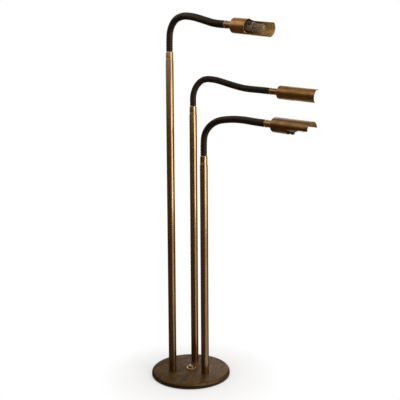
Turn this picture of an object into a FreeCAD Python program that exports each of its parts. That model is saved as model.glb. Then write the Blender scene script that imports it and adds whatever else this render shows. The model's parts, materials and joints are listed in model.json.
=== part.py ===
import FreeCAD, Part
import math
import os

from FreeCAD import Matrix, Placement, Vector

# Three-arm gooseneck reading floor lamp.
# Frame: millimetres, +Z up, origin at the centre of the base's underside.
# Seen from -Y, the three shades reach to the right (+X) and towards the viewer (-Y).

# ---------------------------------------------------------------- base
base_radius = 128.0
base_edge_radius = 9.0
cover_wall = 1.2
cover_skirt_gap = 2.0          # height of the cover's lower edge above the floor
pad_radius = 121.0
pad_thickness = 2.0
plate_radius = 124.0
plate_thickness = 1.5
weight_thickness = 12.6
weight_side_gap = 0.3          # between the iron weight and the cover's inner wall
cover_top_z = pad_thickness + plate_thickness + weight_thickness + cover_wall

# ---------------------------------------------------------------- stems
stem_count = 3
stem_circle_radius = 62.0
first_stem_angle = 77.0        # of the rear stem, from +X towards +Y
stem_radius = 12.5
stem_wall = 1.5
stem_top_rounding = 1.2
fit_gap = 0.05                 # radial clearance of every spigot, pin and shaft
spigot_height = 18.0
thread_radius = 4.95
thread_hole_radius = 5.2
thread_tail = 4.3              # from the plate up to the thread's lower end
thread_bore_radius = 3.5
washer_radius = 10.5
washer_thickness = 1.0
nut_across_flats = 17.0
nut_height = 3.0
weight_web = 4.1               # iron left above a nut pocket
pocket_radius = 13.0

# ---------------------------------------------------------------- leads
lead_radius = 1.8
lead_bend_radius = 5.0
lead_floor_gap = 0.2
lead_channel_width = 6.0
lead_channel_height = 4.7
lead_into_hose = 20.0          # how far a lead reaches up into its gooseneck

# ---------------------------------------------------------------- ferrules
ferrule_radius = 11.7
ferrule_height = 27.5
ferrule_spigot = 14.0
ferrule_neck_height = 1.2
ferrule_neck_radius = 10.9
ferrule_lip_radius = 12.0
ferrule_lip_height = 1.8
ferrule_rounding = 3.0
ferrule_bore_radius = 4.0

# ---------------------------------------------------------------- goosenecks
hose_crest_radius = 10.5
hose_valley_radius = 9.6
hose_bore_radius = 4.5
rib_pitch = 5.5
ribs_per_link = 10
link_count = 6
hose_plain_end = 2.5           # smooth sleeve before the first rib and after the last
rib_rise = 0.18                # shares of the pitch at which a rib reaches its crest,
rib_fall = 0.62                # leaves it,
rib_end = 0.80                 # and is back in the valley
dome_radius = 14.0
dome_gap = 0.3                 # between a link's domed end and the next link's cup
cup_spare = 1.0                # how far a link is drawn out before its cup is cut,
dome_spare = 0.5               # and its dome
hose_plug_radius = 8.0
hose_plug_length = 12.0
hose_length = 2 * hose_plain_end + rib_pitch * ribs_per_link * link_count
trace_step = 0.25

# ---------------------------------------------------------------- collars
collar_radius = 10.0
collar_length = 30.0
collar_bore_radius = 4.0
bead_radius = 10.7
bead_start = 3.0
bead_width = 2.2
collar_rounding = 1.2
swivel_gap = 0.2               # axial play of the shade on its collar
swivel_radius = 6.0
swivel_lip_radius = 8.0
swivel_lip_thickness = 1.5

# ---------------------------------------------------------------- shades
shade_radius = 20.5
shade_wall = 1.0
shade_length = 124.0
shade_back_wall = 1.5
shade_back_rounding = 5.0
shade_tube_length = 52.0       # closed tube before the front is cut away
shade_cut_corner = 9.0

# ---------------------------------------------------------------- lampholders
holder_radius = 12.5
holder_length = 73.0
holder_ring_height = 6.0
holder_lip_room = 9.2
wire_chamber_length = 22.0
socket_radius = 7.3
socket_floor = 42.0
socket_mouth = 65.0
mouth_radius = 10.7
knob_place = 62.0              # distance of the turn knob from the back of the shade
knob_radius = 5.5
knob_height = 6.3
knob_standoff = 0.5
knob_shaft_radius = 1.9
knob_shaft_depth = 4.6
knob_flutes = 8
knob_flute_radius = 1.0
knob_rounding = 1.2

# ---------------------------------------------------------------- bulbs
bulb_radius = 10.0
bulb_end = 106.0               # distance of the bulb's tip from the back of the shade
bulb_neck_radius = 5.9
bulb_neck_start = 58.0
bulb_neck_end = 65.5
bulb_shoulder = 71.0
bulb_glass_wall = 0.8
cap_radius = 6.9
cap_start = 43.0
cap_end = 64.0
cap_floor = 1.5
cap_tip_radius = 3.0
cap_tip_length = 0.8

# ---------------------------------------------------------------- foot switch
switch_body_radius = 19.0
switch_floor_gap = 0.3
switch_body_height = 9.1
switch_neck_radius = 11.9
switch_neck_rise = 1.4         # of the threaded neck above the cover
switch_room = 0.4
bezel_radius = 17.2
bezel_height = 3.2
bezel_rounding = 2.0
bezel_gap = 0.1                # radial clearance of the button in the bezel
button_radius = 9.0
button_height = 17.5
button_rise = 9.2              # of the button's top above the cover
button_rounding = 2.0
button_floor = 1.2             # floor of the switch body below the button's well

# ---------------------------------------------------------------- cord inlet
inlet_angle = 137.0
inlet_height = 8.2
inlet_bore_radius = 3.1
bushing_radius = 4.2
bushing_flange_radius = 5.2
bushing_flange = 1.5
bushing_length = 16.0
inlet_channel_width = 7.0
inlet_channel_height = 7.4

# ---------------------------------------------------------------- plate screws
screw_count = 3
screw_circle_radius = 95.0
first_screw_angle = 17.0
screw_radius = 2.0
screw_head_radius = 4.0
screw_length = 9.0
pad_hole_radius = 5.0

# ---------------------------------------------------------------- the three arms
# stem_top: height of the tube's upper end above the floor.
# bends: (distance along the gooseneck, its slope in degrees above level).
# heading: degrees from +X towards the viewer, at the root and at the shade.
# opening: degrees from the viewer's side over downwards to the far side.
turn_start = 150.0
turn_end = 314.0
arms = [
    {
        "name": "rear", "stem": 0, "stem_top": 853.0, "heading": (22.0, 36.0), "opening": 166.0,
        "bends": [(22, 90), (50, 70), (80, 42), (115, -6), (160, -21), (220, -19), (275, -9), (314, -11)],
    },
    {
        "name": "left", "stem": 1, "stem_top": 1012.0, "heading": (56.0, 43.0), "opening": -30.0,
        "bends": [(22, 90), (50, 83), (80, 44), (115, 5), (160, -14), (220, -23), (275, -24), (314, -15)],
    },
    {
        "name": "right", "stem": 2, "stem_top": 686.0, "heading": (53.0, 49.0), "opening": 108.0,
        "bends": [(22, 90), (50, 84), (80, 46), (115, 20), (160, 1), (220, -6), (275, -12), (314, -10)],
    },
]

UP = Vector(0, 0, 1)
SPARE = 2.0                    # how far cutting solids overshoot a face

plate_top_z = pad_thickness + plate_thickness
weight_top_z = plate_top_z + weight_thickness


def polar(radius, angle, height=0.0):
    turn = math.radians(angle)
    return Vector(radius * math.cos(turn), radius * math.sin(turn), height)


def tube(outer, inner, bottom, top):
    """Upright ring or, with inner 0, a rod, about the Z axis."""
    solid = Part.makeCylinder(outer, top - bottom, Vector(0, 0, bottom))
    if inner > 0:
        bore = Part.makeCylinder(inner, top - bottom + 2 * SPARE, Vector(0, 0, bottom - SPARE))
        solid = solid.cut(bore)
    return solid


def round_edges(solid, rounding, where):
    """Rounds the full circles of one radius that lie on the given heights."""
    circle, heights = where
    chosen = []
    for edge in solid.Edges:
        curve = edge.Curve
        if not isinstance(curve, Part.Circle) or abs(curve.Radius - circle) > 0.01:
            continue
        if any(abs(curve.Center.z - height) < 0.01 for height in heights):
            chosen.append(edge)
    return solid.makeFillet(rounding, chosen)


def stem_angle(index):
    return first_stem_angle + index * 360.0 / stem_count


def stem_foot(index):
    return polar(stem_circle_radius, stem_angle(index))


def moved(solid, place):
    shape = solid.copy()
    shape.translate(place)
    return shape


def save(name, shapes):
    shape = shapes[0] if len(shapes) == 1 else Part.makeCompound(shapes)
    shape.exportStep("parts/%s.step" % name)


# ================================================================ base
def radial_channel(start, end, width, height, angle):
    """Groove in the weight's underside from one radius to another."""
    box = Part.makeBox(end - start, width, height + SPARE)
    box.translate(Vector(start, -width / 2, plate_top_z - SPARE))
    box.rotate(Vector(0, 0, 0), UP, angle)
    return box


def inlet_hole(radius, start, end):
    return Part.makeCylinder(
        radius, end - start, polar(start, inlet_angle, inlet_height), polar(1.0, inlet_angle))


def screw_places():
    step = 360.0 / screw_count
    return [polar(screw_circle_radius, first_screw_angle + index * step) for index in range(screw_count)]


def base_pad():
    pad = tube(pad_radius, 0, 0, pad_thickness)
    for place in screw_places():
        pad = pad.cut(moved(tube(pad_hole_radius, 0, -SPARE, pad_thickness + SPARE), place))
    return pad


def screw(clearance):
    """Countersunk screw from below; with a clearance it is the hole for one."""
    shank = tube(screw_radius + clearance, 0, pad_thickness, plate_top_z + screw_length)
    head = Part.makeCone(
        screw_head_radius + clearance, screw_radius + clearance, plate_thickness,
        Vector(0, 0, pad_thickness))
    return shank.fuse(head)


def base_plate():
    plate = tube(plate_radius, 0, pad_thickness, plate_top_z)
    for place in screw_places():
        plate = plate.cut(moved(screw(fit_gap), place))
    return plate


def base_weight():
    radius = base_radius - cover_wall - weight_side_gap
    weight = tube(radius, 0, plate_top_z, weight_top_z)
    weight = round_edges(weight, base_edge_radius, (radius, [weight_top_z]))
    room_top = plate_top_z + switch_floor_gap + switch_body_height
    weight = weight.cut(tube(switch_body_radius + switch_room, 0, plate_top_z - SPARE, room_top))
    weight = weight.cut(tube(switch_neck_radius + switch_room, 0, plate_top_z, weight_top_z + SPARE))
    for index in range(stem_count):
        foot = stem_foot(index)
        weight = weight.cut(moved(tube(pocket_radius, 0, plate_top_z - SPARE, weight_top_z - weight_web), foot))
        weight = weight.cut(moved(tube(thread_hole_radius, 0, plate_top_z, weight_top_z + SPARE), foot))
        weight = weight.cut(radial_channel(
            switch_body_radius, stem_circle_radius, lead_channel_width, lead_channel_height, stem_angle(index)))
    weight = weight.cut(radial_channel(
        switch_body_radius, base_radius - bushing_length, inlet_channel_width, inlet_channel_height, inlet_angle))
    weight = weight.cut(inlet_hole(
        bushing_radius + fit_gap, base_radius - bushing_length - SPARE, base_radius + SPARE))
    for place in screw_places():
        weight = weight.cut(moved(screw(fit_gap), place))
    return weight


def base_cover():
    outer = tube(base_radius, 0, cover_skirt_gap, cover_top_z)
    outer = round_edges(outer, base_edge_radius, (base_radius, [cover_top_z]))
    inner_radius = base_radius - cover_wall
    inner = tube(inner_radius, 0, cover_skirt_gap - SPARE, weight_top_z)
    inner = round_edges(inner, base_edge_radius - cover_wall, (inner_radius, [weight_top_z]))
    cover = outer.cut(inner)
    cover = cover.cut(tube(switch_neck_radius + switch_room, 0, weight_top_z - SPARE, cover_top_z + SPARE))
    for index in range(stem_count):
        hole = tube(thread_hole_radius, 0, weight_top_z - SPARE, cover_top_z + SPARE)
        cover = cover.cut(moved(hole, stem_foot(index)))
    return cover.cut(inlet_hole(bushing_radius + fit_gap, base_radius - base_edge_radius, base_radius + SPARE))


def cord_bushing():
    sleeve = inlet_hole(bushing_radius, base_radius - bushing_length, base_radius)
    flange = inlet_hole(bushing_flange_radius, base_radius, base_radius + bushing_flange)
    bore = inlet_hole(
        inlet_bore_radius, base_radius - bushing_length - SPARE, base_radius + bushing_flange + SPARE)
    return sleeve.fuse(flange).cut(bore).removeSplitter()


def switch_body():
    bottom = plate_top_z + switch_floor_gap
    top = bottom + switch_body_height
    body = tube(switch_body_radius, 0, bottom, top)
    neck = tube(switch_neck_radius, 0, bottom, cover_top_z + switch_neck_rise)
    well = tube(button_radius + fit_gap, 0, bottom + button_floor, cover_top_z + button_rise)
    return body.fuse(neck).cut(well).removeSplitter()


def switch_bezel():
    bezel = tube(bezel_radius, 0, cover_top_z, cover_top_z + bezel_height)
    bezel = round_edges(bezel, bezel_rounding, (bezel_radius, [cover_top_z + bezel_height]))
    neck_top = cover_top_z + switch_neck_rise
    bezel = bezel.cut(tube(switch_neck_radius + fit_gap, 0, cover_top_z - SPARE, neck_top))
    return bezel.cut(tube(button_radius + bezel_gap, 0, cover_top_z, cover_top_z + bezel_height + SPARE))


def switch_button():
    top = cover_top_z + button_rise
    button = tube(button_radius, 0, top - button_height, top)
    return round_edges(button, button_rounding, (button_radius, [top]))


# ================================================================ stems
def stem_spigot():
    """Plug in the foot of a stem, with a hollow threaded tail through the base."""
    plug = tube(stem_radius - stem_wall - fit_gap, 0, cover_top_z, cover_top_z + spigot_height)
    tail = tube(thread_radius, 0, plate_top_z + thread_tail, cover_top_z + spigot_height)
    bore = tube(thread_bore_radius, 0, plate_top_z, cover_top_z + spigot_height + SPARE)
    return plug.fuse(tail).cut(bore).removeSplitter()


def stem_washer():
    top = weight_top_z - weight_web
    return tube(washer_radius, thread_radius + fit_gap, top - washer_thickness, top)


def stem_nut():
    top = weight_top_z - weight_web - washer_thickness
    corner = nut_across_flats / 2 / math.cos(math.radians(30.0))
    points = [polar(corner, 60.0 * side, top - nut_height) for side in range(7)]
    block = Part.Face(Part.makePolygon(points)).extrude(UP * nut_height)
    return block.cut(tube(thread_radius + fit_gap, 0, top - nut_height - SPARE, top + SPARE))


def stem_tube(arm):
    tube_bore = stem_radius - stem_wall
    stem = tube(stem_radius, tube_bore, cover_top_z, arm["stem_top"])
    stem = round_edges(stem, stem_top_rounding, (stem_radius, [arm["stem_top"]]))
    return moved(stem, stem_foot(arm["stem"]))


def ferrule(arm):
    """Turned sleeve that joins the gooseneck's root to the top of the stem."""
    neck = tube(ferrule_neck_radius, 0, -ferrule_spigot, ferrule_neck_height)
    body = tube(ferrule_radius, 0, ferrule_neck_height, ferrule_height)
    body = round_edges(body, ferrule_rounding, (ferrule_radius, [ferrule_height]))
    lip = tube(ferrule_lip_radius, 0, ferrule_neck_height, ferrule_neck_height + ferrule_lip_height)
    sleeve = neck.fuse([body, lip]).removeSplitter()
    sleeve = sleeve.cut(tube(ferrule_bore_radius, 0, -ferrule_spigot - SPARE, ferrule_height + SPARE))
    socket_bottom = ferrule_height - hose_plug_length
    sleeve = sleeve.cut(tube(hose_plug_radius + fit_gap, 0, socket_bottom, ferrule_height + SPARE))
    return moved(sleeve, stem_foot(arm["stem"]) + UP * arm["stem_top"])


def stem_lead(arm):
    """Two-core lead from the foot switch, along its channel and up the stem."""
    inward = polar(1.0, stem_angle(arm["stem"]))
    low = plate_top_z + lead_floor_gap + lead_radius
    start = inward * switch_body_radius + UP * low
    corner = stem_foot(arm["stem"]) + UP * low
    top_z = arm["stem_top"] + ferrule_height + lead_into_hose
    turn_in = corner - inward * lead_bend_radius
    turn_out = corner + UP * lead_bend_radius
    centre = corner - inward * lead_bend_radius + UP * lead_bend_radius
    slant = (inward - UP) * (lead_bend_radius / math.sqrt(2.0))
    run = Part.makeLine(start, turn_in)
    bend = Part.Arc(turn_in, centre + slant, turn_out).toShape()
    rise = Part.makeLine(turn_out, Vector(corner.x, corner.y, top_z))
    section = Part.Wire(Part.makeCircle(lead_radius, start, inward))
    return Part.Wire([run, bend, rise]).makePipeShell([section], True, False)


# ================================================================ goosenecks
def slope_at(distance, bends):
    last_place, last_slope = bends[0]
    for place, slope in bends:
        if distance <= place:
            if place == last_place:
                return slope
            share = (distance - last_place) / (place - last_place)
            return last_slope + share * (slope - last_slope)
        last_place, last_slope = place, slope
    return last_slope


def heading_at(distance, heading):
    share = (distance - turn_start) / (turn_end - turn_start)
    share = min(max(share, 0.0), 1.0)
    return heading[0] + share * (heading[1] - heading[0])


def axes_at(distance, arm):
    """Direction along the gooseneck and the level direction square to it."""
    slope = math.radians(slope_at(distance, arm["bends"]))
    heading = math.radians(heading_at(distance, arm["heading"]))
    ahead = Vector(
        math.cos(slope) * math.cos(heading), -math.cos(slope) * math.sin(heading), math.sin(slope))
    side = Vector(math.sin(heading), math.cos(heading), 0)
    return ahead, side


def trace(arm):
    """Points of the gooseneck's centre line, one at each trace step from its root."""
    point = stem_foot(arm["stem"]) + UP * (arm["stem_top"] + ferrule_height)
    points = [point]
    for step in range(int(round(hose_length / trace_step))):
        ahead, _ = axes_at((step + 0.5) * trace_step, arm)
        point = point + ahead * trace_step
        points.append(point)
    return points


def ring(centre, ahead, side, radius):
    """Circle square to the gooseneck, with its own X axis kept level."""
    across = ahead.cross(side)
    frame = Matrix(
        side.x, across.x, ahead.x, centre.x,
        side.y, across.y, ahead.y, centre.y,
        side.z, across.z, ahead.z, centre.z,
        0, 0, 0, 1)
    circle = Part.Circle(Vector(0, 0, 0), UP, radius).toShape()
    circle.Placement = Placement(frame)
    return Part.Wire(circle)


def ring_on(points, arm, distance, radius, shift=0.0):
    """Ring at a distance along the centre line, moved on along its own axis."""
    ahead, side = axes_at(distance, arm)
    index = min(int(round(distance / trace_step)), len(points) - 1)
    return ring(points[index] + ahead * shift, ahead, side, radius)


def valley_distance(link):
    """Distance of the valley in which the given link begins."""
    return hose_plain_end + rib_pitch * (ribs_per_link * link - (1.0 - rib_end) / 2)


def dome_reach():
    """From a bend's centre to the valley round the edge of its dome."""
    middle = dome_radius + dome_gap / 2
    return math.sqrt(middle ** 2 - hose_valley_radius ** 2)


def bend_centre(points, arm, link):
    """Point about which the given link bends against the link before it."""
    distance = valley_distance(link)
    ahead, _ = axes_at(distance, arm)
    index = int(round(distance / trace_step))
    return points[index] - ahead * dome_reach(), ahead


def hose_link(points, arm, link):
    """Ribbed length of gooseneck: cupped at its root and domed at its far end."""
    first = link == 0
    last = link == link_count - 1
    outer = []
    inner = []
    if first:
        outer.append(ring_on(points, arm, 0.0, hose_valley_radius))
        inner.append(ring_on(points, arm, 0.0, hose_bore_radius, -hose_plug_length - SPARE))
    else:
        back = dome_reach() - math.sqrt(dome_radius ** 2 - hose_valley_radius ** 2) + cup_spare
        outer.append(ring_on(points, arm, valley_distance(link), hose_valley_radius, -back))
        inner.append(ring_on(points, arm, valley_distance(link), hose_bore_radius, -back - SPARE))
    for rib in range(ribs_per_link):
        start = hose_plain_end + rib_pitch * (ribs_per_link * link + rib)
        outer.append(ring_on(points, arm, start, hose_valley_radius))
        outer.append(ring_on(points, arm, start + rib_rise * rib_pitch, hose_crest_radius))
        outer.append(ring_on(points, arm, start + rib_fall * rib_pitch, hose_crest_radius))
        outer.append(ring_on(points, arm, start + rib_end * rib_pitch, hose_valley_radius))
        inner.append(ring_on(points, arm, start, hose_bore_radius))
    if last:
        outer.append(ring_on(points, arm, hose_length, hose_valley_radius))
        inner.append(ring_on(points, arm, hose_length, hose_bore_radius, hose_plug_length + SPARE))
    else:
        front = dome_radius - dome_reach() + dome_spare
        outer.append(ring_on(points, arm, valley_distance(link + 1), hose_valley_radius, front))
        inner.append(ring_on(points, arm, valley_distance(link + 1), hose_bore_radius, front + SPARE))
    solid = Part.makeLoft(outer, True, True)
    bore = Part.makeLoft(inner, True, True)
    if first:
        solid = solid.fuse(Part.makeCylinder(
            hose_plug_radius, hose_plug_length, points[0], UP * -1.0))
    if last:
        ahead, _ = axes_at(hose_length, arm)
        solid = solid.fuse(Part.makeCylinder(hose_plug_radius, hose_plug_length, points[-1], ahead))
    solid = solid.cut(bore)
    if not first:
        centre, ahead = bend_centre(points, arm, link)
        solid = solid.cut(Part.makeSphere(dome_radius + dome_gap, centre, ahead))
    if not last:
        centre, ahead = bend_centre(points, arm, link + 1)
        start = dome_reach() - dome_gap
        waste = Part.makeCylinder(
            hose_crest_radius + SPARE, dome_radius, centre + ahead * start, ahead)
        waste = waste.cut(Part.makeSphere(dome_radius, centre, ahead))
        solid = solid.cut(waste)
    return solid


# ================================================================ heads
# A head is made along +Z from the gooseneck's end, with the shade's open side
# towards +X, and is then turned and moved into place.
def head_place(points, arm):
    ahead, side = axes_at(hose_length, arm)
    over = ahead.cross(side)
    roll = math.radians(arm["opening"])
    open_way = side * -math.cos(roll) - over * math.sin(roll)
    third = ahead.cross(open_way)
    end = points[-1]
    frame = Matrix(
        open_way.x, third.x, ahead.x, end.x,
        open_way.y, third.y, ahead.y, end.y,
        open_way.z, third.z, ahead.z, end.z,
        0, 0, 0, 1)
    return Placement(frame)


def placed(solid, place):
    shape = solid.copy()
    shape.Placement = place.multiply(shape.Placement)
    return shape


shade_back_z = collar_length + swivel_gap


def collar():
    """Turned collar on the gooseneck's end, with the shade's swivel pin on it."""
    body = tube(collar_radius, 0, 0, collar_length)
    body = round_edges(body, collar_rounding, (collar_radius, [0, collar_length]))
    bead = tube(bead_radius, 0, bead_start, bead_start + bead_width)
    lip_bottom = shade_back_z + shade_back_wall + swivel_gap
    pin = tube(swivel_radius, 0, collar_length - SPARE, lip_bottom + swivel_lip_thickness)
    lip = tube(swivel_lip_radius, 0, lip_bottom, lip_bottom + swivel_lip_thickness)
    solid = body.fuse([bead, pin, lip]).removeSplitter()
    solid = solid.cut(tube(hose_plug_radius + fit_gap, 0, -SPARE, hose_plug_length))
    return solid.cut(tube(collar_bore_radius, 0, 0, lip_bottom + swivel_lip_thickness + SPARE))


def shade():
    """Brass tube closed at the back, its front half cut away lengthwise."""
    front = shade_back_z + shade_length
    outer = tube(shade_radius, 0, shade_back_z, front)
    outer = round_edges(outer, shade_back_rounding, (shade_radius, [shade_back_z]))
    inner_radius = shade_radius - shade_wall
    inner = tube(inner_radius, 0, shade_back_z + shade_back_wall, front + SPARE)
    inner = round_edges(
        inner, shade_back_rounding - shade_wall, (inner_radius, [shade_back_z + shade_back_wall]))
    solid = outer.cut(inner)
    solid = solid.cut(tube(swivel_radius + fit_gap, 0, shade_back_z - SPARE, shade_back_z + SPARE))
    rim = shade_back_z + shade_tube_length
    window = Part.makeBox(shade_radius + SPARE, 2 * shade_radius + 2 * SPARE, front + SPARE - rim)
    window.translate(Vector(0, -shade_radius - SPARE, rim))
    corner = [edge for edge in window.Edges if is_window_corner(edge, rim)]
    window = window.makeFillet(shade_cut_corner, corner)
    return solid.cut(window)


def is_window_corner(edge, rim):
    box = edge.BoundBox
    return box.XMax < 0.01 and box.ZMax < rim + 0.01


def lampholder():
    """Moulded lampholder that bears on the back of the shade."""
    floor = shade_back_z + shade_back_wall
    room = shade_radius - shade_wall
    foot = tube(room - fit_gap, 0, floor, floor + holder_ring_height)
    foot = foot.makeChamfer(shade_back_rounding - shade_wall, foot_edge(foot, floor))
    body = tube(holder_radius, 0, floor, shade_back_z + holder_length)
    solid = foot.fuse(body).removeSplitter()
    solid = solid.cut(tube(holder_lip_room, 0, floor - SPARE, floor + holder_ring_height))
    chamber_top = shade_back_z + wire_chamber_length
    solid = solid.cut(tube(collar_bore_radius, 0, floor, chamber_top))
    solid = solid.cut(tube(
        socket_radius, 0, shade_back_z + socket_floor, shade_back_z + holder_length + SPARE))
    solid = solid.cut(tube(
        mouth_radius, 0, shade_back_z + socket_mouth, shade_back_z + holder_length + SPARE))
    shaft_hole = Part.makeCylinder(
        knob_shaft_radius + fit_gap, holder_radius + SPARE, Vector(0, 0, shade_back_z + knob_place),
        Vector(1, 0, 0))
    return solid.cut(shaft_hole)


def foot_edge(foot, height):
    return [edge for edge in foot.Edges if edge.Closed and abs(edge.BoundBox.ZMax - height) < 0.01]


def turn_knob():
    """Fluted knob whose shaft enters the lampholder's side towards the open side."""
    grip_bottom = holder_radius + knob_standoff
    grip_top = grip_bottom + knob_height
    grip = tube(knob_radius, 0, grip_bottom, grip_top)
    grip = round_edges(grip, knob_rounding, (knob_radius, [grip_top]))
    for flute in range(knob_flutes):
        place = polar(knob_radius + knob_flute_radius / 2, flute * 360.0 / knob_flutes)
        groove = tube(knob_flute_radius, 0, grip_bottom - SPARE, grip_top + SPARE)
        grip = grip.cut(moved(groove, place))
    shaft = tube(knob_shaft_radius, 0, holder_radius - knob_shaft_depth, grip_bottom + SPARE)
    knob = grip.fuse(shaft).removeSplitter()
    knob.rotate(Vector(0, 0, 0), Vector(0, 1, 0), 90.0)
    knob.translate(Vector(0, 0, shade_back_z + knob_place))
    return knob


def bulb_cap():
    """Screw cap of the bulb, hollow, with its centre contact."""
    bottom = shade_back_z + cap_start
    top = shade_back_z + cap_end
    shell = tube(cap_radius, 0, bottom, top)
    shell = shell.cut(tube(bulb_neck_radius + fit_gap, 0, bottom + cap_floor, top + SPARE))
    contact = tube(cap_tip_radius, 0, bottom - cap_tip_length, bottom)
    return shell.fuse(contact).removeSplitter()


def bulb_outline(wall):
    """Half section of the tubular bulb, drawn inwards by a wall."""
    neck = bulb_neck_radius - wall
    belly = bulb_radius - wall
    low = shade_back_z + bulb_neck_start
    neck_top = shade_back_z + bulb_neck_end
    shoulder = shade_back_z + bulb_shoulder
    end = shade_back_z + bulb_end - wall
    crown = end - belly
    bevel = belly / math.sqrt(2.0)
    lines = [
        Part.makeLine(Vector(0, 0, low), Vector(neck, 0, low)),
        Part.makeLine(Vector(neck, 0, low), Vector(neck, 0, neck_top)),
        Part.makeLine(Vector(neck, 0, neck_top), Vector(belly, 0, shoulder)),
        Part.makeLine(Vector(belly, 0, shoulder), Vector(belly, 0, crown)),
        Part.Arc(Vector(belly, 0, crown), Vector(bevel, 0, crown + bevel), Vector(0, 0, end)).toShape(),
        Part.makeLine(Vector(0, 0, end), Vector(0, 0, low)),
    ]
    return Part.Face(Part.Wire(lines)).revolve(Vector(0, 0, 0), UP, 360.0)


def bulb_glass():
    return bulb_outline(0.0).cut(bulb_outline(bulb_glass_wall))


# ================================================================ assembly
os.makedirs("parts", exist_ok=True)

save("base_pad", [base_pad()])
save("base_plate", [base_plate()])
save("base_weight", [base_weight()])
save("base_cover", [base_cover()])
save("cord_bushing", [cord_bushing()])
save("switch_body", [switch_body()])
save("switch_bezel", [switch_bezel()])
save("switch_button", [switch_button()])
save("plate_screws", [moved(screw(0.0), place) for place in screw_places()])
save("stem_spigots", [moved(stem_spigot(), stem_foot(index)) for index in range(stem_count)])
save("stem_washers", [moved(stem_washer(), stem_foot(index)) for index in range(stem_count)])
save("stem_nuts", [moved(stem_nut(), stem_foot(index)) for index in range(stem_count)])

for arm in arms:
    name = arm["name"]
    points = trace(arm)
    place = head_place(points, arm)
    save("stem_%s" % name, [stem_tube(arm)])
    save("lead_%s" % name, [stem_lead(arm)])
    save("ferrule_%s" % name, [ferrule(arm)])
    for link in range(link_count):
        save("gooseneck_%s_%d" % (name, link + 1), [hose_link(points, arm, link)])
    save("collar_%s" % name, [placed(collar(), place)])
    save("shade_%s" % name, [placed(shade(), place)])
    save("lampholder_%s" % name, [placed(lampholder(), place)])
    save("knob_%s" % name, [placed(turn_knob(), place)])
    save("bulb_cap_%s" % name, [placed(bulb_cap(), place)])
    save("bulb_glass_%s" % name, [placed(bulb_glass(), place)])
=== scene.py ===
import json
import math

import bmesh
import bpy
from mathutils import Matrix, Vector


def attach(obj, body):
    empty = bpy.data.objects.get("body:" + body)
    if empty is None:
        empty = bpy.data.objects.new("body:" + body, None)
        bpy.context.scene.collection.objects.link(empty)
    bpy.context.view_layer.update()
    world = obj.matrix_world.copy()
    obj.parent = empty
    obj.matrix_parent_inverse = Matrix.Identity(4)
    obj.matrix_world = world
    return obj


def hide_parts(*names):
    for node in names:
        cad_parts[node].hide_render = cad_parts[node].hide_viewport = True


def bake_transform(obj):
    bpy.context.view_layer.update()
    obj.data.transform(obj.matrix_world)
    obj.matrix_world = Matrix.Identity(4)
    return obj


# Three-arm gooseneck reading floor lamp: finishes, ribbed goosenecks, shades and bulbs.
# Lengths are in millimetres and become metres through MM.
MM = 0.001

# ---------------------------------------------------------------- sizes, as the lamp is built
BASE_RADIUS = 128.0
BASE_EDGE = 9.0
COVER_WALL = 1.2
COVER_LOW = 2.0
COVER_TOP = 17.3
STEM_CIRCLE = 62.0
FIRST_STEM_ANGLE = 77.0
STEM_RADIUS = 12.5
STEM_BORE = 11.0
FERRULE_HEIGHT = 27.5
HOSE_CREST = 10.5
HOSE_VALLEY = 9.6
HOSE_LENGTH = 335.0
HOSE_PLAIN_END = 2.5
RIB_PITCH = 5.5
RIBS_PER_LINK = 10
LINKS = 6
COLLAR_RADIUS = 10.0
COLLAR_LENGTH = 30.0
HOSE_SOCKET_RADIUS = 8.06
LEAD_HOLE_RADIUS = 4.0
SWIVEL_GAP = 0.2
SHADE_RADIUS = 20.5
SHADE_WALL = 1.0
SHADE_LENGTH = 124.0
SHADE_BACK = 1.5
SHADE_TUBE = 52.0
SHADE_CUT_CORNER = 9.0
SHADE_PIN_HOLE = 6.3
SHADE_Z = COLLAR_LENGTH + SWIVEL_GAP
HOLDER_RADIUS = 12.5
BULB_RADIUS = 10.0
BULB_WALL = 0.8
BULB_END = 106.0
FILAMENT_TURNS = 22
FILAMENT_HALF_SPAN = 4.2
FILAMENT_COIL_RADIUS = 0.42
FILAMENT_WIRE_RADIUS = 0.09
FILAMENT_ARCH = 2.4
SWITCH_HOLE_RADIUS = 12.3
BUTTON_RADIUS = 9.0
BUTTON_RISE = 9.2
BUTTON_LENGTH = 17.5

# heading: degrees from +X towards -Y, up to TURN_START and from TURN_END on along the hose.
# bends: (distance along the hose in millimetres, slope there in degrees).
TURN_START = 150.0
TURN_END = 314.0
ARMS = [
    {
        "name": "rear", "stem": 0, "stem_top": 853.0, "heading": (22.0, 36.0),
        "bends": [(22, 90), (50, 70), (80, 42), (115, -6), (160, -21), (220, -19), (275, -9), (314, -11)],
    },
    {
        "name": "left", "stem": 1, "stem_top": 1012.0, "heading": (56.0, 43.0),
        "bends": [(22, 90), (50, 83), (80, 44), (115, 5), (160, -14), (220, -23), (275, -24), (314, -15)],
    },
    {
        "name": "right", "stem": 2, "stem_top": 686.0, "heading": (53.0, 49.0),
        "bends": [(22, 90), (50, 84), (80, 46), (115, 20), (160, 1), (220, -6), (275, -12), (314, -10)],
    },
]

# ---------------------------------------------------------------- the photograph's camera
CAMERA_DISTANCE = 1600.0
CAMERA_HEIGHT = 673.4
CAMERA_PITCH = 3.621
CAMERA_YAW = 1.202
CAMERA_ROLL = -0.378
FOCAL_PIXELS = 495.9
IMAGE_WIDTH = 400.0
SENSOR_WIDTH = 36.0

ROUND_STEPS = 72
SMOOTH_ANGLE = math.radians(32.0)


# ================================================================ materials
def paint(code):
    """Linear colour with alpha from an sRGB hex code."""
    channels = []
    for start in (0, 2, 4):
        value = int(code[start:start + 2], 16) / 255.0
        channels.append(value / 12.92 if value <= 0.04045 else ((value + 0.055) / 1.055) ** 2.4)
    return (*channels, 1.0)


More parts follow.
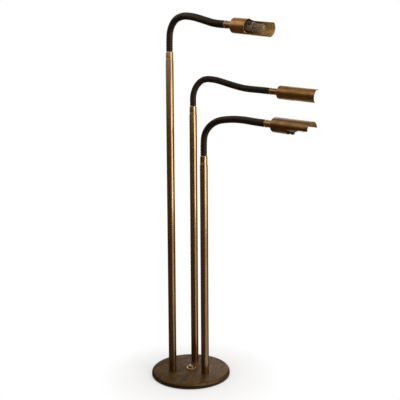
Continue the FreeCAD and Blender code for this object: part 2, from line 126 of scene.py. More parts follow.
def add(tree, kind, inputs=None, **settings):
    """Adds a node, sets its properties, and sets or links its inputs."""
    node = tree.nodes.new(kind)
    for name, value in settings.items():
        setattr(node, name, value)
    for name, value in (inputs or {}).items():
        if isinstance(value, bpy.types.NodeSocket):
            tree.links.new(value, node.inputs[name])
        else:
            node.inputs[name].default_value = value
    return node


def new_material(name):
    material = bpy.data.materials.new(name)
    material.use_nodes = True
    material.node_tree.nodes.clear()
    return material, material.node_tree


def finish_material(tree, shader):
    add(tree, "ShaderNodeOutputMaterial", {"Surface": shader.outputs["BSDF"]})


def ramp(tree, factor, stops):
    node = add(tree, "ShaderNodeValToRGB", {"Fac": factor})
    bar = node.color_ramp.elements
    bar[0].position, bar[0].color = stops[0][0], paint(stops[0][1])
    bar[1].position, bar[1].color = stops[-1][0], paint(stops[-1][1])
    for place, code in stops[1:-1]:
        middle = bar.new(place)
        middle.color = paint(code)
    return node.outputs["Color"]


def per_mm(size):
    """Texture scale whose features are about this many millimetres apart."""
    return 1.0 / (size * MM)


def aged_brass(name, tones, roughness, cloud_size, painted_foot_shade=0.0, lacquer=1.7, drawn=1.0):
    """Satin brass gone brown under old clear lacquer: cloudy tarnish with thin rubbed spots.

    drawn below 1 stretches the clouds along a drawn tube, and the foot amount paints shade that darkens a
    stem towards its foot.
    """
    material, tree = new_material(name)
    place = add(tree, "ShaderNodeTexCoord").outputs["Object"]
    stretch = add(tree, "ShaderNodeVectorMath", {0: place, 1: (1.0, 1.0, drawn)}, operation="MULTIPLY")
    along = stretch.outputs["Vector"]
    clouds = add(tree, "ShaderNodeTexNoise", {
        "Vector": along, "Scale": per_mm(cloud_size), "Detail": 6.0, "Roughness": 0.58})
    specks = add(tree, "ShaderNodeTexNoise", {
        "Vector": along, "Scale": per_mm(3.0), "Detail": 3.0, "Roughness": 0.6})
    mixed = add(tree, "ShaderNodeMath", {
        0: specks.outputs["Fac"], 1: 0.3, 2: clouds.outputs["Fac"]}, operation="MULTIPLY_ADD")
    level = add(tree, "ShaderNodeMapRange", {
        "Value": mixed.outputs[0], "From Min": 0.40, "From Max": 0.90})
    colour = ramp(tree, level.outputs["Result"], tones)
    # Painted shade: the colour darkens towards the stem's foot, by height.
    if painted_foot_shade:
        height = add(tree, "ShaderNodeSeparateXYZ", {"Vector": place}).outputs["Z"]
        low = add(tree, "ShaderNodeMapRange", {
            "Value": height, "From Min": 0.02, "From Max": 0.62, "To Min": painted_foot_shade, "To Max": 0.0})
        mix = add(tree, "ShaderNodeMix", {"Factor": low.outputs["Result"]}, data_type="RGBA")
        tree.links.new(colour, mix.inputs["A"])
        mix.inputs["B"].default_value = paint("4A3218")
        colour = mix.outputs["Result"]
    rough = add(tree, "ShaderNodeMapRange", {
        "Value": mixed.outputs[0], "From Min": 0.40, "From Max": 0.90,
        "To Min": roughness + 0.08, "To Max": roughness - 0.06})
    pits = add(tree, "ShaderNodeTexNoise", {
        "Vector": place, "Scale": per_mm(0.8), "Detail": 3.0, "Roughness": 0.6})
    bump = add(tree, "ShaderNodeBump", {
        "Height": pits.outputs["Fac"], "Strength": 0.025, "Distance": 0.15 * MM})
    shader = add(tree, "ShaderNodeBsdfPrincipled", {
        "Base Color": colour, "Metallic": 1.0, "Roughness": rough.outputs["Result"],
        "Coat Weight": 1.0, "Coat Roughness": 0.16, "Coat IOR": lacquer, "Coat Tint": paint("FFF8EA"),
        "Normal": bump.outputs["Normal"]})
    finish_material(tree, shader)
    return material


def lining_brass_painted_pale(name):
    """Inside of the shades: unlacquered brass dulled by the bulb's heat and without a mirror; its pale tone
    is partly this raw brass, partly painted light inside the shade.
    """
    material, tree = new_material(name)
    place = add(tree, "ShaderNodeTexCoord").outputs["Object"]
    haze = add(tree, "ShaderNodeTexNoise", {
        "Vector": place, "Scale": per_mm(18.0), "Detail": 5.0, "Roughness": 0.6})
    colour = ramp(tree, haze.outputs["Fac"], [(0.3, "A4814E"), (0.7, "C2A068")])
    shader = add(tree, "ShaderNodeBsdfPrincipled", {
        "Base Color": colour, "Metallic": 0.6, "Roughness": 0.5})
    finish_material(tree, shader)
    return material


def patinated_bronze(name):
    """Dark chemically browned cover: olive and red brown blotches under dull wax, with painted shade
    darkening its rim.
    """
    material, tree = new_material(name)
    place = add(tree, "ShaderNodeTexCoord").outputs["Object"]
    blotches = add(tree, "ShaderNodeTexNoise", {
        "Vector": place, "Scale": per_mm(38.0), "Detail": 8.0, "Roughness": 0.66, "Distortion": 0.6})
    grime = add(tree, "ShaderNodeTexNoise", {
        "Vector": place, "Scale": per_mm(6.0), "Detail": 5.0, "Roughness": 0.7})
    level = add(tree, "ShaderNodeMath", {
        0: grime.outputs["Fac"], 1: 0.45, 2: blotches.outputs["Fac"]}, operation="MULTIPLY_ADD")
    spread = add(tree, "ShaderNodeMapRange", {
        "Value": level.outputs[0], "From Min": 0.45, "From Max": 1.0})
    colour = ramp(tree, spread.outputs["Result"], [
        (0.0, "33240F"), (0.35, "4E3A1C"), (0.6, "5E4624"), (0.8, "6C4D29"), (1.0, "7D5C33")])
    rough = add(tree, "ShaderNodeMapRange", {
        "Value": level.outputs[0], "From Min": 0.45, "From Max": 1.0, "To Min": 0.62, "To Max": 0.42})
    # Painted shade: the colour darkens down the cover's rounded rim, by height.
    height = add(tree, "ShaderNodeSeparateXYZ", {"Vector": place}).outputs["Z"]
    side = add(tree, "ShaderNodeMapRange", {
        "Value": height, "From Min": COVER_TOP * MM, "From Max": (COVER_TOP - BASE_EDGE) * MM,
        "To Max": 0.8})
    painted_rim_shade = add(tree, "ShaderNodeMix", {"Factor": side.outputs["Result"]}, data_type="RGBA")
    tree.links.new(colour, painted_rim_shade.inputs["A"])
    painted_rim_shade.inputs["B"].default_value = paint("1C140A")
    bump = add(tree, "ShaderNodeBump", {
        "Height": grime.outputs["Fac"], "Strength": 0.16, "Distance": 0.3 * MM})
    shader = add(tree, "ShaderNodeBsdfPrincipled", {
        "Base Color": painted_rim_shade.outputs["Result"], "Metallic": 0.8, "Roughness": rough.outputs["Result"],
        "Normal": bump.outputs["Normal"]})
    finish_material(tree, shader)
    return material


def nylon_sleeve(name):
    """Black nylon over the gooseneck's coil: painted shade in the valleys, the crests brown and shinier."""
    material, tree = new_material(name)
    place = add(tree, "ShaderNodeTexCoord").outputs["Object"]
    weave = add(tree, "ShaderNodeTexVoronoi", {"Vector": place, "Scale": per_mm(1.6)})
    dust = add(tree, "ShaderNodeTexNoise", {
        "Vector": place, "Scale": per_mm(14.0), "Detail": 5.0, "Roughness": 0.65})
    crest = add(tree, "ShaderNodeAttribute", attribute_name="crest").outputs["Fac"]
    colour = ramp(tree, dust.outputs["Fac"], [(0.30, "070605"), (0.55, "110E0A"), (0.75, "221A13")])
    # Painted shade: the colour darkens to near black in the valleys between the ribs.
    painted_valley_shade = add(tree, "ShaderNodeMapRange", {"Value": crest, "From Min": 0.25, "From Max": 0.95})
    mix = add(tree, "ShaderNodeMix", {"Factor": painted_valley_shade.outputs["Result"]}, data_type="RGBA")
    mix.inputs["A"].default_value = paint("020101")
    tree.links.new(colour, mix.inputs["B"])
    rough = add(tree, "ShaderNodeMapRange", {"Value": crest, "To Min": 0.85, "To Max": 0.36})
    bump = add(tree, "ShaderNodeBump", {
        "Height": weave.outputs["Distance"], "Strength": 0.35, "Distance": 0.25 * MM})
    shader = add(tree, "ShaderNodeBsdfPrincipled", {
        "Base Color": mix.outputs["Result"], "Roughness": rough.outputs["Result"], "IOR": 1.52,
        "Specular Tint": paint("E0C4A0"),
        "Normal": bump.outputs["Normal"]})
    finish_material(tree, shader)
    return material


def bakelite(name, dark, light):
    """Pressed phenolic with a faint flow pattern and a soft moulded shine."""
    material, tree = new_material(name)
    place = add(tree, "ShaderNodeTexCoord").outputs["Object"]
    flow = add(tree, "ShaderNodeTexNoise", {
        "Vector": place, "Scale": per_mm(9.0), "Detail": 4.0, "Distortion": 1.4})
    colour = ramp(tree, flow.outputs["Fac"], [(0.35, dark), (0.7, light)])
    rough = add(tree, "ShaderNodeMapRange", {
        "Value": flow.outputs["Fac"], "To Min": 0.22, "To Max": 0.36})
    shader = add(tree, "ShaderNodeBsdfPrincipled", {
        "Base Color": colour, "Roughness": rough.outputs["Result"], "IOR": 1.6})
    finish_material(tree, shader)
    return material


def grained_metal(name, dark, light, roughness, grain):
    """Machined or cast metal with a fine even grain in colour and height."""
    material, tree = new_material(name)
    place = add(tree, "ShaderNodeTexCoord").outputs["Object"]
    texture = add(tree, "ShaderNodeTexNoise", {
        "Vector": place, "Scale": per_mm(grain), "Detail": 5.0, "Roughness": 0.65})
    colour = ramp(tree, texture.outputs["Fac"], [(0.3, dark), (0.7, light)])
    rough = add(tree, "ShaderNodeMapRange", {
        "Value": texture.outputs["Fac"], "To Min": roughness - 0.06, "To Max": roughness + 0.1})
    bump = add(tree, "ShaderNodeBump", {
        "Height": texture.outputs["Fac"], "Strength": 0.2, "Distance": 0.2 * MM})
    shader = add(tree, "ShaderNodeBsdfPrincipled", {
        "Base Color": colour, "Metallic": 1.0, "Roughness": rough.outputs["Result"],
        "Normal": bump.outputs["Normal"]})
    finish_material(tree, shader)
    return material


def soft_stuff(name, dark, light, fibre, roughness):
    """Felt or rubber: dull, with a fine uneven surface."""
    material, tree = new_material(name)
    place = add(tree, "ShaderNodeTexCoord").outputs["Object"]
    texture = add(tree, "ShaderNodeTexNoise", {
        "Vector": place, "Scale": per_mm(fibre), "Detail": 4.0, "Roughness": 0.7})
    colour = ramp(tree, texture.outputs["Fac"], [(0.3, dark), (0.7, light)])
    bump = add(tree, "ShaderNodeBump", {
        "Height": texture.outputs["Fac"], "Strength": 0.4, "Distance": 0.3 * MM})
    shader = add(tree, "ShaderNodeBsdfPrincipled", {
        "Base Color": colour, "Roughness": roughness, "Normal": bump.outputs["Normal"]})
    finish_material(tree, shader)
    return material


def blown_glass(name):
    """Thin clear bulb glass with a film of dust: light passes straight through, its edges mirror more."""
    material, tree = new_material(name)
    facing = add(tree, "ShaderNodeLayerWeight", {"Blend": 0.5})
    edge = add(tree, "ShaderNodeMath", {0: facing.outputs["Facing"], 1: 4.0}, operation="POWER")
    mirror = add(tree, "ShaderNodeMapRange", {"Value": edge.outputs[0], "To Min": 0.08, "To Max": 0.32})
    through = add(tree, "ShaderNodeBsdfTransparent", {"Color": paint("FDFCFA")})
    shine = add(tree, "ShaderNodeBsdfPrincipled", {
        "Base Color": paint("DCCFB6"), "Metallic": 0.5, "Roughness": 0.22})
    mix = add(tree, "ShaderNodeMixShader", {"Fac": mirror.outputs[0]})
    tree.links.new(through.outputs[0], mix.inputs[1])
    tree.links.new(shine.outputs[0], mix.inputs[2])
    add(tree, "ShaderNodeOutputMaterial", {"Surface": mix.outputs[0]})
    return material


# ================================================================ mesh helpers
def piece(name, bm, material, body, nodes=(), bevel=0.0, place=None):
    """Turns a bmesh in millimetres into a finished piece that rides on a body."""
    matrix = Matrix.Scale(MM, 4) @ (place or Matrix.Identity(4))
    bmesh.ops.transform(bm, matrix=matrix, verts=bm.verts)
    bmesh.ops.remove_doubles(bm, verts=bm.verts, dist=1e-7)
    bmesh.ops.recalc_face_normals(bm, faces=bm.faces)
    mesh = bpy.data.meshes.new(name)
    bm.to_mesh(mesh)
    bm.free()
    mesh.polygons.foreach_set("use_smooth", [True] * len(mesh.polygons))
    mesh.set_sharp_from_angle(angle=SMOOTH_ANGLE)
    mesh.materials.append(material)
    thing = bpy.data.objects.new(name, mesh)
    bpy.context.scene.collection.objects.link(thing)
    if bevel:
        edge = thing.modifiers.new("edge", "BEVEL")
        edge.width = bevel * MM
        edge.segments = 2
        edge.limit_method = "ANGLE"
        edge.angle_limit = SMOOTH_ANGLE
        edge.harden_normals = True
    if body:
        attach(thing, body)
    if nodes:
        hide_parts(*nodes)
    return thing


def turned(points, rounding=None, steps=ROUND_STEPS):
    """Body of revolution about Z from (radius, height) points; rounding is {point: radius}."""
    bm = bmesh.new()
    corners = [bm.verts.new((radius, 0, height)) for radius, height in points]
    for first, second in zip(corners, corners[1:] + corners[:1]):
        bm.edges.new((first, second))
    for index, radius in (rounding or {}).items():
        bmesh.ops.bevel(
            bm, geom=[corners[index]], affect="VERTICES", offset=radius, segments=7,
            profile=0.5, material=-1)
    bmesh.ops.spin(
        bm, geom=bm.verts[:] + bm.edges[:], cent=(0, 0, 0), axis=(0, 0, 1),
        angle=math.tau, steps=steps, use_merge=True, use_duplicate=False)
    bmesh.ops.remove_doubles(bm, verts=bm.verts, dist=1e-4)
    bmesh.ops.dissolve_degenerate(bm, edges=bm.edges, dist=1e-4)
    return bm


def stem_foot(index):
    turn = math.radians(FIRST_STEM_ANGLE + index * 120.0)
    return Vector((STEM_CIRCLE * math.cos(turn), STEM_CIRCLE * math.sin(turn), 0))


# ================================================================ goosenecks
def between(distance, stops):
    """Value at a distance, on straight lines through (distance, value) stops."""
    if distance <= stops[0][0]:
        return stops[0][1]
    for (low, first), (high, second) in zip(stops, stops[1:]):
        if distance <= high:
            return first + (distance - low) / (high - low) * (second - first)
    return stops[-1][1]


def axes_at(distance, arm):
    slope = math.radians(between(distance, arm["bends"]))
    turn = between(distance, [(TURN_START, arm["heading"][0]), (TURN_END, arm["heading"][1])])
    heading = math.radians(turn)
    ahead = Vector((
        math.cos(slope) * math.cos(heading), -math.cos(slope) * math.sin(heading), math.sin(slope)))
    return ahead, Vector((math.sin(heading), math.cos(heading), 0))


def centre_line(arm, step=0.25):
    point = stem_foot(arm["stem"]) + Vector((0, 0, arm["stem_top"] + FERRULE_HEIGHT))
    points = [point.copy()]
    for index in range(int(round(HOSE_LENGTH / step))):
        point = point + axes_at((index + 0.5) * step, arm)[0] * step
        points.append(point.copy())
    return lambda distance: points[min(int(round(distance / step)), len(points) - 1)]


def frame_at(distance, arm, line):
    ahead, side = axes_at(distance, arm)
    across = ahead.cross(side)
    matrix = Matrix((side, across, ahead)).transposed().to_4x4()
    matrix.translation = line(distance)
    return matrix


# A rib's outline over one pitch: (share of the pitch, share of the way from valley to crest).
RIB_SHAPE = [
    (0.0, 0.10), (0.10, 0.62), (0.22, 0.92), (0.38, 1.0),
    (0.54, 0.92), (0.68, 0.60), (0.80, 0.12), (0.90, 0.0)]


def hose_stations(start, end):
    """Distances and radii along the ribbed sleeve between two distances."""
    stations = [(start, None)]
    first = int(round((start - HOSE_PLAIN_END) / RIB_PITCH))
    last = int(round((end - HOSE_PLAIN_END) / RIB_PITCH))
    for rib in range(max(first, 0), min(last, RIBS_PER_LINK * LINKS)):
        for share, rise in RIB_SHAPE:
            distance = HOSE_PLAIN_END + (rib + share) * RIB_PITCH
            stations.append((distance, HOSE_VALLEY + rise * (HOSE_CREST - HOSE_VALLEY)))
    stations.append((end, None))
    return [(d, HOSE_VALLEY + 0.1 * (HOSE_CREST - HOSE_VALLEY) if r is None else r) for d, r in stations]


def hose_piece(arm, line, start, end):
    """Ring after ring extruded along the centre line, each on its own rib height."""
    bm = bmesh.new()
    stations = hose_stations(start, end)
    height = bm.verts.layers.float.new("crest")
    cleaned = [stations[0]] + [s for i, s in enumerate(stations[1:]) if s[0] - stations[i][0] > 0.01]
    distance, radius = cleaned[0]
    last = frame_at(distance, arm, line) @ Matrix.Scale(radius, 4)
    rim = bmesh.ops.create_circle(bm, cap_ends=False, segments=36, radius=1.0, matrix=last)
    edges = list({edge for vert in rim["verts"] for edge in vert.link_edges})
    for distance, radius in cleaned[1:]:
        matrix = frame_at(distance, arm, line) @ Matrix.Scale(radius, 4)
        grown = bmesh.ops.extrude_edge_only(bm, edges=edges)["geom"]
        verts = [item for item in grown if isinstance(item, bmesh.types.BMVert)]
        edges = [item for item in grown if isinstance(item, bmesh.types.BMEdge)]
        bmesh.ops.transform(bm, matrix=matrix @ last.inverted(), verts=verts)
        for vert in verts:
            vert[height] = (radius - HOSE_VALLEY) / (HOSE_CREST - HOSE_VALLEY)
        last = matrix
    return bm


def goosenecks(arm, material):
    """Five sleeves, each from the middle of one link to the middle of the next."""
    name = arm["name"]
    line = centre_line(arm)
    link = RIB_PITCH * RIBS_PER_LINK
    for joint in range(1, LINKS):
        start = 0.0 if joint == 1 else HOSE_PLAIN_END + (joint - 0.5) * link
        end = HOSE_LENGTH if joint == LINKS - 1 else HOSE_PLAIN_END + (joint + 0.5) * link
        nodes = ["gooseneck_%s_%d" % (name, joint + 1)]
        if joint == 1:
            nodes.append("gooseneck_%s_1" % name)
        sleeve = piece(
            "gooseneck_sleeve_%s_%d" % (name, joint), hose_piece(arm, line, start, end),
            material, None, nodes)
        low = HOSE_PLAIN_END + (joint - 0.5) * link
        high = HOSE_PLAIN_END + (joint + 0.5) * link
        tuple(line(low) * MM)
        tuple(line(high) * MM)
        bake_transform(sleeve)


# ================================================================ heads
def head_matrix(name):
    """Frame of an arm's head: Z along the shade, X towards its open side, in millimetres."""
    joints = {joint["name"]: joint for joint in frame["joints"]}
    swivel = joints[name + "_shade_swivel"]
    ahead = Vector(swivel["axis"]).normalized()
    open_way = Vector(joints[name + "_knob_turn"]["axis"]).normalized()
    matrix = Matrix((open_way, ahead.cross(open_way), ahead)).transposed().to_4x4()
    matrix.translation = Vector(swivel["pos_m"]) / MM - ahead * SHADE_Z
    return matrix


def shade_mesh():
    """Spun brass tube closed at the back, with its front half cut away and the corners left round."""
    front = SHADE_Z + SHADE_LENGTH
    back = SHADE_Z
    inner = SHADE_RADIUS - SHADE_WALL
    bm = turned([
        (SHADE_PIN_HOLE, back), (SHADE_RADIUS, back), (SHADE_RADIUS, front), (inner, front),
        (inner, back + SHADE_BACK), (SHADE_PIN_HOLE, back + SHADE_BACK)], {1: 5.0, 4: 4.0}, steps=96)
    shell = bpy.data.meshes.new("shell")
    bmesh.ops.recalc_face_normals(bm, faces=bm.faces)
    bm.to_mesh(shell)
    bm.free()
    rim = SHADE_Z + SHADE_TUBE
    cutter = bmesh.new()
    spare = 4.0
    size = (SHADE_RADIUS + spare, 2 * (SHADE_RADIUS + spare), front + spare - rim)
    middle = Vector((size[0] / 2, 0, rim + size[2] / 2))
    bmesh.ops.create_cube(cutter, size=1.0, matrix=Matrix.Translation(middle) @ Matrix.Diagonal((*size, 1)))
    corner = [
        edge for edge in cutter.edges
        if all(vert.co.x < 0.01 and vert.co.z < rim + 0.01 for vert in edge.verts)]
    bmesh.ops.bevel(
        cutter, geom=corner, affect="EDGES", offset=SHADE_CUT_CORNER, segments=12, profile=0.5, material=-1)
    blade = bpy.data.meshes.new("blade")
    bmesh.ops.recalc_face_normals(cutter, faces=cutter.faces)
    cutter.to_mesh(blade)
    cutter.free()
    body = bpy.data.objects.new("shell", shell)
    tool = bpy.data.objects.new("blade", blade)
    for item in (body, tool):
        bpy.context.scene.collection.objects.link(item)
    cut = body.modifiers.new("cut", "BOOLEAN")
    cut.operation = "DIFFERENCE"
    cut.solver = "EXACT"
    cut.object = tool
    bpy.context.view_layer.update()
    result = body.evaluated_get(bpy.context.evaluated_depsgraph_get()).to_mesh()
    bm = bmesh.new()
    bm.from_mesh(result)
    for item in (body, tool):
        bpy.data.objects.remove(item)
    return bm


def holder_mesh():
    """Moulded lampholder: stepped foot, grip rings, and a mouth with a rolled lip."""
    low = SHADE_Z + SHADE_BACK
    top = SHADE_Z + 73.0
    wide = SHADE_RADIUS - SHADE_WALL - 0.05
    outline = [(9.2, low + 0.1), (wide - 4.0, low + 0.1), (wide, low + 4.0), (wide, low + 6.0)]
    outline += [(HOLDER_RADIUS, low + 6.0)]
    for ring in range(4):
        place = SHADE_Z + 20.0 + 5.0 * ring
        outline += [(HOLDER_RADIUS, place), (HOLDER_RADIUS - 0.6, place + 0.6)]
        outline += [(HOLDER_RADIUS - 0.6, place + 1.6), (HOLDER_RADIUS, place + 2.2)]
    outline += [(HOLDER_RADIUS, top), (10.8, top), (10.8, SHADE_Z + 65.0)]
    outline += [(7.4, SHADE_Z + 65.0), (7.4, SHADE_Z + 42.0), (0.0, SHADE_Z + 42.0)]
    outline += [(0.0, low + 6.0), (9.2, low + 6.0)]
    return turned(outline, steps=56)


def bulb_glass_mesh():
    """Tubular bulb of even wall: narrow neck, shoulder and rounded end."""
    low = SHADE_Z + 58.0
    end = SHADE_Z + BULB_END
    inner = BULB_RADIUS - BULB_WALL
    inner_end = end - BULB_WALL
    return turned([
        (5.9, low), (5.9, SHADE_Z + 65.5), (BULB_RADIUS, SHADE_Z + 71.0), (BULB_RADIUS, end), (0.0, end),
        (0.0, inner_end), (inner, inner_end), (inner, SHADE_Z + 71.3),
        (5.1, SHADE_Z + 65.9), (5.1, low)], {3: 8.6, 6: 7.9, 2: 2.2, 7: 1.9}, steps=56)


def wire_mesh(points, radius, sides=8):
    """Round wire along straight runs between points."""
    bm = bmesh.new()
    for first, second in zip(points, points[1:]):
        run = second - first
        turn = run.to_track_quat("Z", "Y").to_matrix().to_4x4()
        middle = Matrix.Translation((first + second) / 2)
        bmesh.ops.create_cone(
            bm, cap_ends=True, segments=sides, radius1=radius, radius2=radius, depth=run.length,
            matrix=middle @ turn)
    return bm


def bulb_inside(place, name, glass, metal, filament):
    """Glass stem, two lead wires and the fine coiled filament inside the bulb."""
    base = SHADE_Z + 62.0
    filament_z = base + 30.0
    mount = turned([
        (0, base), (3.2, base), (2.2, base + 9.0), (1.4, base + 14.0), (0, base + 14.0)], steps=24)
    piece("bulb_mount_" + name, mount, glass, "head_" + name, place=place)
    for side, sign in (("a", 1.0), ("b", -1.0)):
        wire = wire_mesh([
            Vector((sign * 1.0, 0, base + 12.0)), Vector((sign * 3.6, 0, base + 22.0)),
            Vector((sign * FILAMENT_HALF_SPAN, 0, filament_z))], 0.22)
        piece("bulb_wire_%s_%s" % (side, name), wire, metal, "head_" + name, place=place)
    coil = []
    for step in range(FILAMENT_TURNS * 6 + 1):
        share = step / (FILAMENT_TURNS * 6)
        angle = math.tau * FILAMENT_TURNS * share
        lift = FILAMENT_ARCH * math.sin(math.pi * share)
        coil.append(Vector((
            FILAMENT_HALF_SPAN * (1 - 2 * share), FILAMENT_COIL_RADIUS * math.cos(angle),
            filament_z + lift + FILAMENT_COIL_RADIUS * math.sin(angle))))
    piece(
        "bulb_filament_" + name, wire_mesh(coil, FILAMENT_WIRE_RADIUS, 5), filament, "head_" + name,
        place=place)


def heads(arm, finishes):
    """Collar, shade with its raw inside partly painted pale, lampholder and bulb at the end of one
    gooseneck.
    """
    name = arm["name"]
    place = head_matrix(name)
    head = "head_" + name
    arm_end = "gooseneck_%s_%d" % (name, LINKS)
    collar = turned([
        (HOSE_SOCKET_RADIUS, 0.0), (9.5, 0.0), (COLLAR_RADIUS, 0.5), (COLLAR_RADIUS, 2.6), (10.7, 3.1),
        (10.7, 4.9), (COLLAR_RADIUS, 5.4), (COLLAR_RADIUS, 24.6), (9.5, 25.1), (9.5, 26.1),
        (COLLAR_RADIUS, 26.6), (COLLAR_RADIUS, COLLAR_LENGTH - 0.6), (9.4, COLLAR_LENGTH),
        (6.0, COLLAR_LENGTH), (6.0, SHADE_Z + 1.7), (8.0, SHADE_Z + 1.7), (8.0, SHADE_Z + 3.2),
        (LEAD_HOLE_RADIUS, SHADE_Z + 3.2), (LEAD_HOLE_RADIUS, 12.0), (HOSE_SOCKET_RADIUS, 12.0)], steps=64)
    piece(
        "collar_turned_" + name, collar, finishes["collar brass"], arm_end,
        ["collar_" + name], place=place)
    shell = shade_mesh()
    for face in shell.faces:
        middle = face.calc_center_median()
        inside = middle.xy.length < SHADE_RADIUS - 0.7 and middle.z > SHADE_Z + 1.0
        face.material_index = int(inside)
    spun = piece(
        "shade_spun_" + name, shell, finishes[name + " shade brass"], head,
        ["shade_" + name], bevel=0.35, place=place)
    spun.data.materials.append(finishes["shade lining"])
    piece(
        "lampholder_moulded_" + name, holder_mesh(), finishes["brown bakelite"], head,
        ["lampholder_" + name], bevel=0.3, place=place)
    piece(
        "bulb_blown_" + name, bulb_glass_mesh(), finishes["glass"], head,
        ["bulb_glass_" + name], place=place)
    bulb_inside(place, name, finishes["glass"], finishes["nickel"], finishes["filament"])


# ================================================================ stems and base
def stems(arm, finishes):
    """One stem tube and the turned ferrule that holds its gooseneck."""
    name = arm["name"]
    top = arm["stem_top"]
    place = Matrix.Translation(stem_foot(arm["stem"]))
    tube = turned([
        (STEM_BORE, COVER_TOP), (STEM_RADIUS, COVER_TOP), (STEM_RADIUS, top), (STEM_BORE, top)],
        {1: 0.5, 2: 1.2})
    piece(
        "stem_tube_" + name, tube, finishes["stem brass"], "base", ["stem_" + name],
        place=place)
    ferrule = turned([
        (HOSE_SOCKET_RADIUS, 15.5), (HOSE_SOCKET_RADIUS, FERRULE_HEIGHT), (11.7, FERRULE_HEIGHT),
        (11.7, 6.4), (11.2, 5.9), (11.2, 5.1), (11.7, 4.6), (12.0, 3.0), (12.0, 1.2), (10.9, 1.2),
        (10.9, -14.0), (LEAD_HOLE_RADIUS, -14.0), (LEAD_HOLE_RADIUS, 15.5)], {2: 3.0})
    lift = Matrix.Translation(stem_foot(arm["stem"]) + Vector((0, 0, top)))
    piece(
        "ferrule_turned_" + name, ferrule, finishes["ferrule brass"], "base",
        ["ferrule_" + name], bevel=0.2, place=lift)


def base(finishes):
    """Spun cover with its rounded rim, and the foot switch's ring and button."""
    inner = BASE_RADIUS - COVER_WALL
    under = COVER_TOP - COVER_WALL
    cover = turned([
        (SWITCH_HOLE_RADIUS, under), (SWITCH_HOLE_RADIUS, COVER_TOP), (BASE_RADIUS, COVER_TOP),
        (BASE_RADIUS, COVER_LOW), (inner, COVER_LOW), (inner, under)],
        {2: BASE_EDGE, 5: BASE_EDGE - COVER_WALL}, steps=144)
    piece("base_cover_spun", cover, finishes["bronze"], "base", ["base_cover"], bevel=0.3)
    ring = turned([
        (12.0, COVER_TOP), (17.2, COVER_TOP), (17.2, COVER_TOP + 3.2), (9.15, COVER_TOP + 3.2),
        (9.15, COVER_TOP + 1.4), (12.0, COVER_TOP + 1.4)], {2: 2.2, 3: 0.6}, steps=64)
    piece("switch_ring_turned", ring, finishes["light brass"], "base", ["switch_bezel"])
    top = COVER_TOP + BUTTON_RISE
    low = top - BUTTON_LENGTH
    button = turned([(0, low), (BUTTON_RADIUS, low), (BUTTON_RADIUS, top), (0, top)], {2: 2.0}, steps=64)
    piece(
        "switch_button_turned", button, finishes["light brass"], "foot_button",
        ["switch_button"], bevel=0.2)


def dress_nodes(finishes):
    """Finishes of the construction pieces that keep their own shape."""
    wanted = {
        "base_pad": "felt", "base_plate": "zinc", "base_weight": "iron", "cord_bushing": "bakelite",
        "switch_body": "bakelite", "plate_screws": "zinc", "stem_spigots": "stem brass",
        "stem_washers": "zinc", "stem_nuts": "light brass",
    }
    for arm in ARMS:
        wanted["lead_" + arm["name"]] = "rubber"
        wanted["knob_" + arm["name"]] = "bakelite"
        wanted["bulb_cap_" + arm["name"]] = "nickel"
    for node, finish in wanted.items():
        mesh = frame["nodes"][node].data
        mesh.materials.clear()
        mesh.materials.append(finishes[finish])


# ================================================================ studio
WHITE_FROM = 0.10       # metres from the base's middle where the floor starts to pass into white
WHITE_AT = 0.30         # metres from there on which it is all white
SCREEN_NEAR = 0.135     # inner and outer radius in metres of the screens round the lamp
SCREEN_FAR = 2.4


def floor_material():
    """Pale floor with a weakened shadow close to the base, all white further out, for camera rays only."""
    material, tree = new_material("pale_floor")
    place = add(tree, "ShaderNodeTexCoord").outputs["Object"]
    distance = add(tree, "ShaderNodeVectorMath", {0: place}, operation="LENGTH").outputs["Value"]
    far = add(tree, "ShaderNodeMapRange", {
        "Value": distance, "From Min": WHITE_FROM, "From Max": WHITE_AT, "To Min": 0.45})
    path = add(tree, "ShaderNodeLightPath")
    blend = add(tree, "ShaderNodeMath", {
        0: far.outputs["Result"], 1: path.outputs["Is Camera Ray"]}, operation="MULTIPLY")
    matt = add(tree, "ShaderNodeBsdfDiffuse", {"Color": paint("F7F7F7")})
    white = add(tree, "ShaderNodeEmission", {"Color": (1, 1, 1, 1), "Strength": 1.0})
    mix = add(tree, "ShaderNodeMixShader", {"Fac": blend.outputs[0]})
    tree.links.new(matt.outputs[0], mix.inputs[1])
    tree.links.new(white.outputs[0], mix.inputs[2])
    add(tree, "ShaderNodeOutputMaterial", {"Surface": mix.outputs[0]})
    return material


def painted_reflection_cloth():
    """Painted reflection for the screens: brown low down that passes into beige higher up."""
    material, tree = new_material("painted_reflection_screen")
    place = add(tree, "ShaderNodeTexCoord").outputs["Object"]
    height = add(tree, "ShaderNodeSeparateXYZ", {"Vector": place}).outputs["Z"]
    level = add(tree, "ShaderNodeMapRange", {"Value": height, "From Min": 1.15, "From Max": 1.75})
    colour = ramp(tree, level.outputs["Result"], [(0.0, "6E5A42"), (1.0, "D0BEA6")])
    shader = add(tree, "ShaderNodeBsdfDiffuse", {"Color": colour})
    add(tree, "ShaderNodeOutputMaterial", {"Surface": shader.outputs["BSDF"]})
    return material


def stage_mesh(name, bm, material):
    mesh = bpy.data.meshes.new(name)
    bm.to_mesh(mesh)
    bm.free()
    mesh.materials.append(material)
    thing = bpy.data.objects.new(name, mesh)
    bpy.context.scene.collection.objects.link(thing)
    return thing


def reflection_screen(name, low_angle, high_angle, material, profile):
    """Curved screen that only reflections see, in front of the pale background; angles from -Y to +X."""
    bm = bmesh.new()
    turn = Matrix.Rotation(math.radians(low_angle), 4, "Z")
    line = [bm.verts.new(turn @ Vector((0, -radius, height))) for radius, height in profile]
    edges = [bm.edges.new(pair) for pair in zip(line, line[1:])]
    bmesh.ops.spin(
        bm, geom=line + edges, cent=(0, 0, 0), axis=(0, 0, 1), angle=math.radians(high_angle - low_angle),
        steps=24, use_duplicate=False)
    screen = stage_mesh(name, bm, material)
    screen.visible_camera = False
    screen.visible_shadow = False
    screen.visible_diffuse = False
    screen.visible_transmission = False


